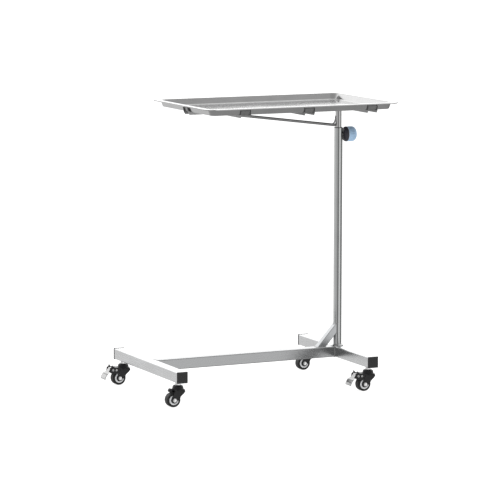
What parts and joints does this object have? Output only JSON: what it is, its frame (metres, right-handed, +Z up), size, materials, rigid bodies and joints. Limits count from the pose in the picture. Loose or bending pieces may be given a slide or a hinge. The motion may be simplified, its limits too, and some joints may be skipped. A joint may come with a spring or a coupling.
{
  "type": "instrument cart",
  "caption": "Height-adjustable instrument cart: rectangular steel tray on a sliding side column, H-shaped tube base on swivel casters.",
  "frame": {"origin": "on the floor under the middle of the whole cart's box", "axes": "+Z up, +X from the foot end of the base towards the column, -Y front"},
  "size_m": [0.945, 0.56, 1.021],
  "materials": {
    "base_steel": "satin",
    "column_steel": "polished",
    "mast_steel": "polished",
    "carrier_steel": "satin",
    "tray_steel": "polished",
    "cap_plastic": "ribbed matt",
    "guide_plastic": "matt",
    "knob_black": "semi-gloss",
    "knob_blue": "semi-gloss",
    "caster_black": "gloss",
    "bracket_black": "gloss",
    "tyre_rubber": "matt",
    "wheel_grey": "semi-gloss",
    "fastener_steel": "bright",
    "race_steel": "satin",
    "pedal_chrome": "bright",
    "pad_brass": "plain"
  },
  "bodies": {
    "base": {"caster_stem_left_front": "fastener_steel", "caster_stem_left_rear": "fastener_steel", "caster_stem_right_front": "fastener_steel", "caster_stem_right_rear": "fastener_steel", "clamp_boss": "column_steel", "column_brace": "base_steel", "column_foot": "base_steel", "column_guide": "guide_plastic", "column_tube": "column_steel", "end_cap_left_front": "cap_plastic", "end_cap_left_rear": "cap_plastic", "end_cap_right_front": "cap_plastic", "end_cap_right_rear": "cap_plastic", "left_crossbar": "base_steel", "long_beam": "base_steel", "right_crossbar": "base_steel", "swivel_race_left_front": "race_steel", "swivel_race_left_rear": "race_steel", "swivel_race_right_front": "race_steel", "swivel_race_right_rear": "race_steel"},
    "clamp_slide": {"clamp_pad": "pad_brass"},
    "clamp_screw": {"knob_back": "knob_black", "knob_grip": "knob_blue", "clamp_stud": "fastener_steel"},
    "mast_glide": {"glide_bush": "guide_plastic"},
    "mast": {"inner_tube": "mast_steel", "mast_plate": "carrier_steel", "support_rod": "carrier_steel", "carrier_spine": "carrier_steel", "carrier_strip_left": "carrier_steel", "carrier_strip_middle": "carrier_steel", "carrier_strip_right": "carrier_steel"},
    "tray": {"tray": "tray_steel"},
    "fork_left_front": {"caster_fork_left_front": "caster_black", "axle_bolt_left_front": "fastener_steel"},
    "wheel_left_front": {"tyre_left_front": "tyre_rubber", "wheel_core_left_front": "wheel_grey"},
    "fork_left_rear": {"caster_fork_left_rear": "caster_black", "axle_bolt_left_rear": "fastener_steel", "brake_bracket_left_rear": "bracket_black", "brake_pins_left_rear": "fastener_steel"},
    "wheel_left_rear": {"tyre_left_rear": "tyre_rubber", "wheel_core_left_rear": "wheel_grey"},
    "pedal_left_rear": {"brake_pedal_left_rear": "pedal_chrome"},
    "fork_right_front": {"caster_fork_right_front": "caster_black", "axle_bolt_right_front": "fastener_steel", "brake_bracket_right_front": "bracket_black", "brake_pins_right_front": "fastener_steel"},
    "wheel_right_front": {"tyre_right_front": "tyre_rubber", "wheel_core_right_front": "wheel_grey"},
    "pedal_right_front": {"brake_pedal_right_front": "pedal_chrome"},
    "fork_right_rear": {"caster_fork_right_rear": "caster_black", "axle_bolt_right_rear": "fastener_steel"},
    "wheel_right_rear": {"tyre_right_rear": "tyre_rubber", "wheel_core_right_rear": "wheel_grey"}
  },
  "joints": [
    {"name": "mast_lift", "type": "slide", "parent": "base", "child": "mast_glide", "axis": [0, 0, 1], "range_m": [0, 0.35]},
    {"name": "mast_turn", "type": "hinge", "parent": "mast_glide", "child": "mast", "pos_m": [0.3475, 0, 0.9], "axis": [0, 0, 1], "continuous": true},
    {"name": "tray_lift_out", "type": "slide", "parent": "mast", "child": "tray", "axis": [0, 0, 1], "range_m": [0, 0.12]},
    {"name": "clamp_travel", "type": "slide", "parent": "base", "child": "clamp_slide", "axis": [1, 0, 0], "range_m": [0, 0.0025]},
    {"name": "clamp_turn", "type": "hinge", "parent": "clamp_slide", "child": "clamp_screw", "pos_m": [0.3775, 0, 0.8925], "axis": [1, 0, 0], "range_deg": [0, 730]},
    {"name": "swivel_left_front", "type": "hinge", "parent": "base", "child": "fork_left_front", "pos_m": [-0.3925, -0.24, 0.065], "axis": [0, 0, 1], "continuous": true},
    {"name": "roll_left_front", "type": "hinge", "parent": "fork_left_front", "child": "wheel_left_front", "pos_m": [-0.4125, -0.24, 0.025], "axis": [0, 1, 0], "continuous": true},
    {"name": "swivel_left_rear", "type": "hinge", "parent": "base", "child": "fork_left_rear", "pos_m": [-0.3925, 0.24, 0.065], "axis": [0, 0, 1], "continuous": true},
    {"name": "roll_left_rear", "type": "hinge", "parent": "fork_left_rear", "child": "wheel_left_rear", "pos_m": [-0.4125, 0.24, 0.025], "axis": [0, 1, 0], "continuous": true},
    {"name": "brake_left_rear", "type": "hinge", "parent": "fork_left_rear", "child": "pedal_left_rear", "pos_m": [-0.439, 0.24, 0.056], "axis": [0, -1, 0], "range_deg": [0, 15]},
    {"name": "swivel_right_front", "type": "hinge", "parent": "base", "child": "fork_right_front", "pos_m": [0.3475, -0.24, 0.065], "axis": [0, 0, 1], "continuous": true},
    {"name": "roll_right_front", "type": "hinge", "parent": "fork_right_front", "child": "wheel_right_front", "pos_m": [0.3275, -0.24, 0.025], "axis": [0, 1, 0], "continuous": true},
    {"name": "brake_right_front", "type": "hinge", "parent": "fork_right_front", "child": "pedal_right_front", "pos_m": [0.301, -0.24, 0.056], "axis": [0, -1, 0], "range_deg": [0, 15]},
    {"name": "swivel_right_rear", "type": "hinge", "parent": "base", "child": "fork_right_rear", "pos_m": [0.3475, 0.24, 0.065], "axis": [0, 0, 1], "continuous": true},
    {"name": "roll_right_rear", "type": "hinge", "parent": "fork_right_rear", "child": "wheel_right_rear", "pos_m": [0.3275, 0.24, 0.025], "axis": [0, 1, 0], "continuous": true}
  ],
  "couplings": [
    {"joint": "clamp_turn", "follows": "clamp_travel", "rad_per_m": 5026.5}
  ]
}
